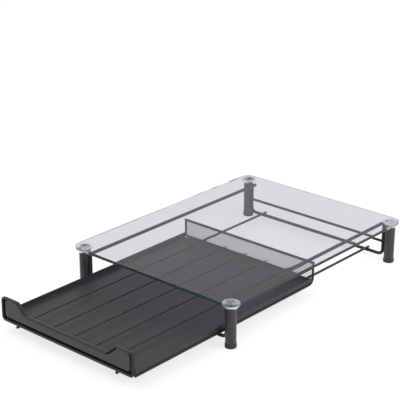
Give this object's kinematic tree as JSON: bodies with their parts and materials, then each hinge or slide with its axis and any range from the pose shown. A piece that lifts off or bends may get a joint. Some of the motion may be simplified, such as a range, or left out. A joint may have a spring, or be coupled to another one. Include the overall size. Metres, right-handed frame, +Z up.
{
  "type": "coffee pod drawer stand",
  "caption": "Glass-topped stand on round legs with a shallow wire and sheet drawer that slides out and holds coffee pods in lanes.",
  "frame": {"origin": "on the floor, under the middle of the object with its drawer about half out", "axes": "+X along the drawer's front to the right, +Y towards the back, where the drawer goes in, +Z up"},
  "size_m": [0.33, 0.6021, 0.0737],
  "materials": {
    "tempered_glass": "clear, polished edge",
    "pad_metal": "spun satin",
    "insert_steel": "plain zinc",
    "foot_plastic": "matte",
    "charcoal_powder_coat": "satin powder coat",
    "black_sheet_coat": "matte powder coat",
    "black_wire_coat": "satin powder coat"
  },
  "bodies": {
    "stand": {"glass_top": "tempered_glass", "front_left_glass_pad": "pad_metal", "front_left_leg": "charcoal_powder_coat", "front_left_leg_insert": "insert_steel", "front_left_foot_cap": "foot_plastic", "front_right_glass_pad": "pad_metal", "front_right_leg": "charcoal_powder_coat", "front_right_leg_insert": "insert_steel", "front_right_foot_cap": "foot_plastic", "front_frame": "black_wire_coat", "back_left_glass_pad": "pad_metal", "back_left_leg": "charcoal_powder_coat", "back_left_leg_insert": "insert_steel", "back_left_foot_cap": "foot_plastic", "back_right_glass_pad": "pad_metal", "back_right_leg": "charcoal_powder_coat", "back_right_leg_insert": "insert_steel", "back_right_foot_cap": "foot_plastic", "back_frame": "black_wire_coat", "back_stop_wire": "black_wire_coat", "left_side_rail": "black_wire_coat", "left_guide_wire": "black_wire_coat", "right_side_rail": "black_wire_coat", "right_guide_wire": "black_wire_coat"},
    "drawer": {"front_plate": "charcoal_powder_coat", "front_rim": "black_wire_coat", "tray_pan": "black_sheet_coat", "left_side_wire": "black_wire_coat", "left_skid_wire": "black_wire_coat", "right_side_wire": "black_wire_coat", "right_skid_wire": "black_wire_coat", "back_top_rail": "black_wire_coat", "back_mesh": "black_sheet_coat", "floor_bar_1": "black_wire_coat", "floor_bar_2": "black_wire_coat", "floor_bar_3": "black_wire_coat", "lane_carrier_front": "black_wire_coat", "lane_carrier_back": "black_wire_coat", "lane_divider_1": "black_wire_coat", "lane_divider_2": "black_wire_coat", "lane_divider_3": "black_wire_coat", "lane_divider_4": "black_wire_coat", "lane_divider_5": "black_wire_coat"}
  },
  "joints": [
    {"name": "drawer_slide", "type": "slide", "parent": "stand", "child": "drawer", "axis": [0, -1, 0], "range_m": [-0.1786, 0.15]}
  ]
}
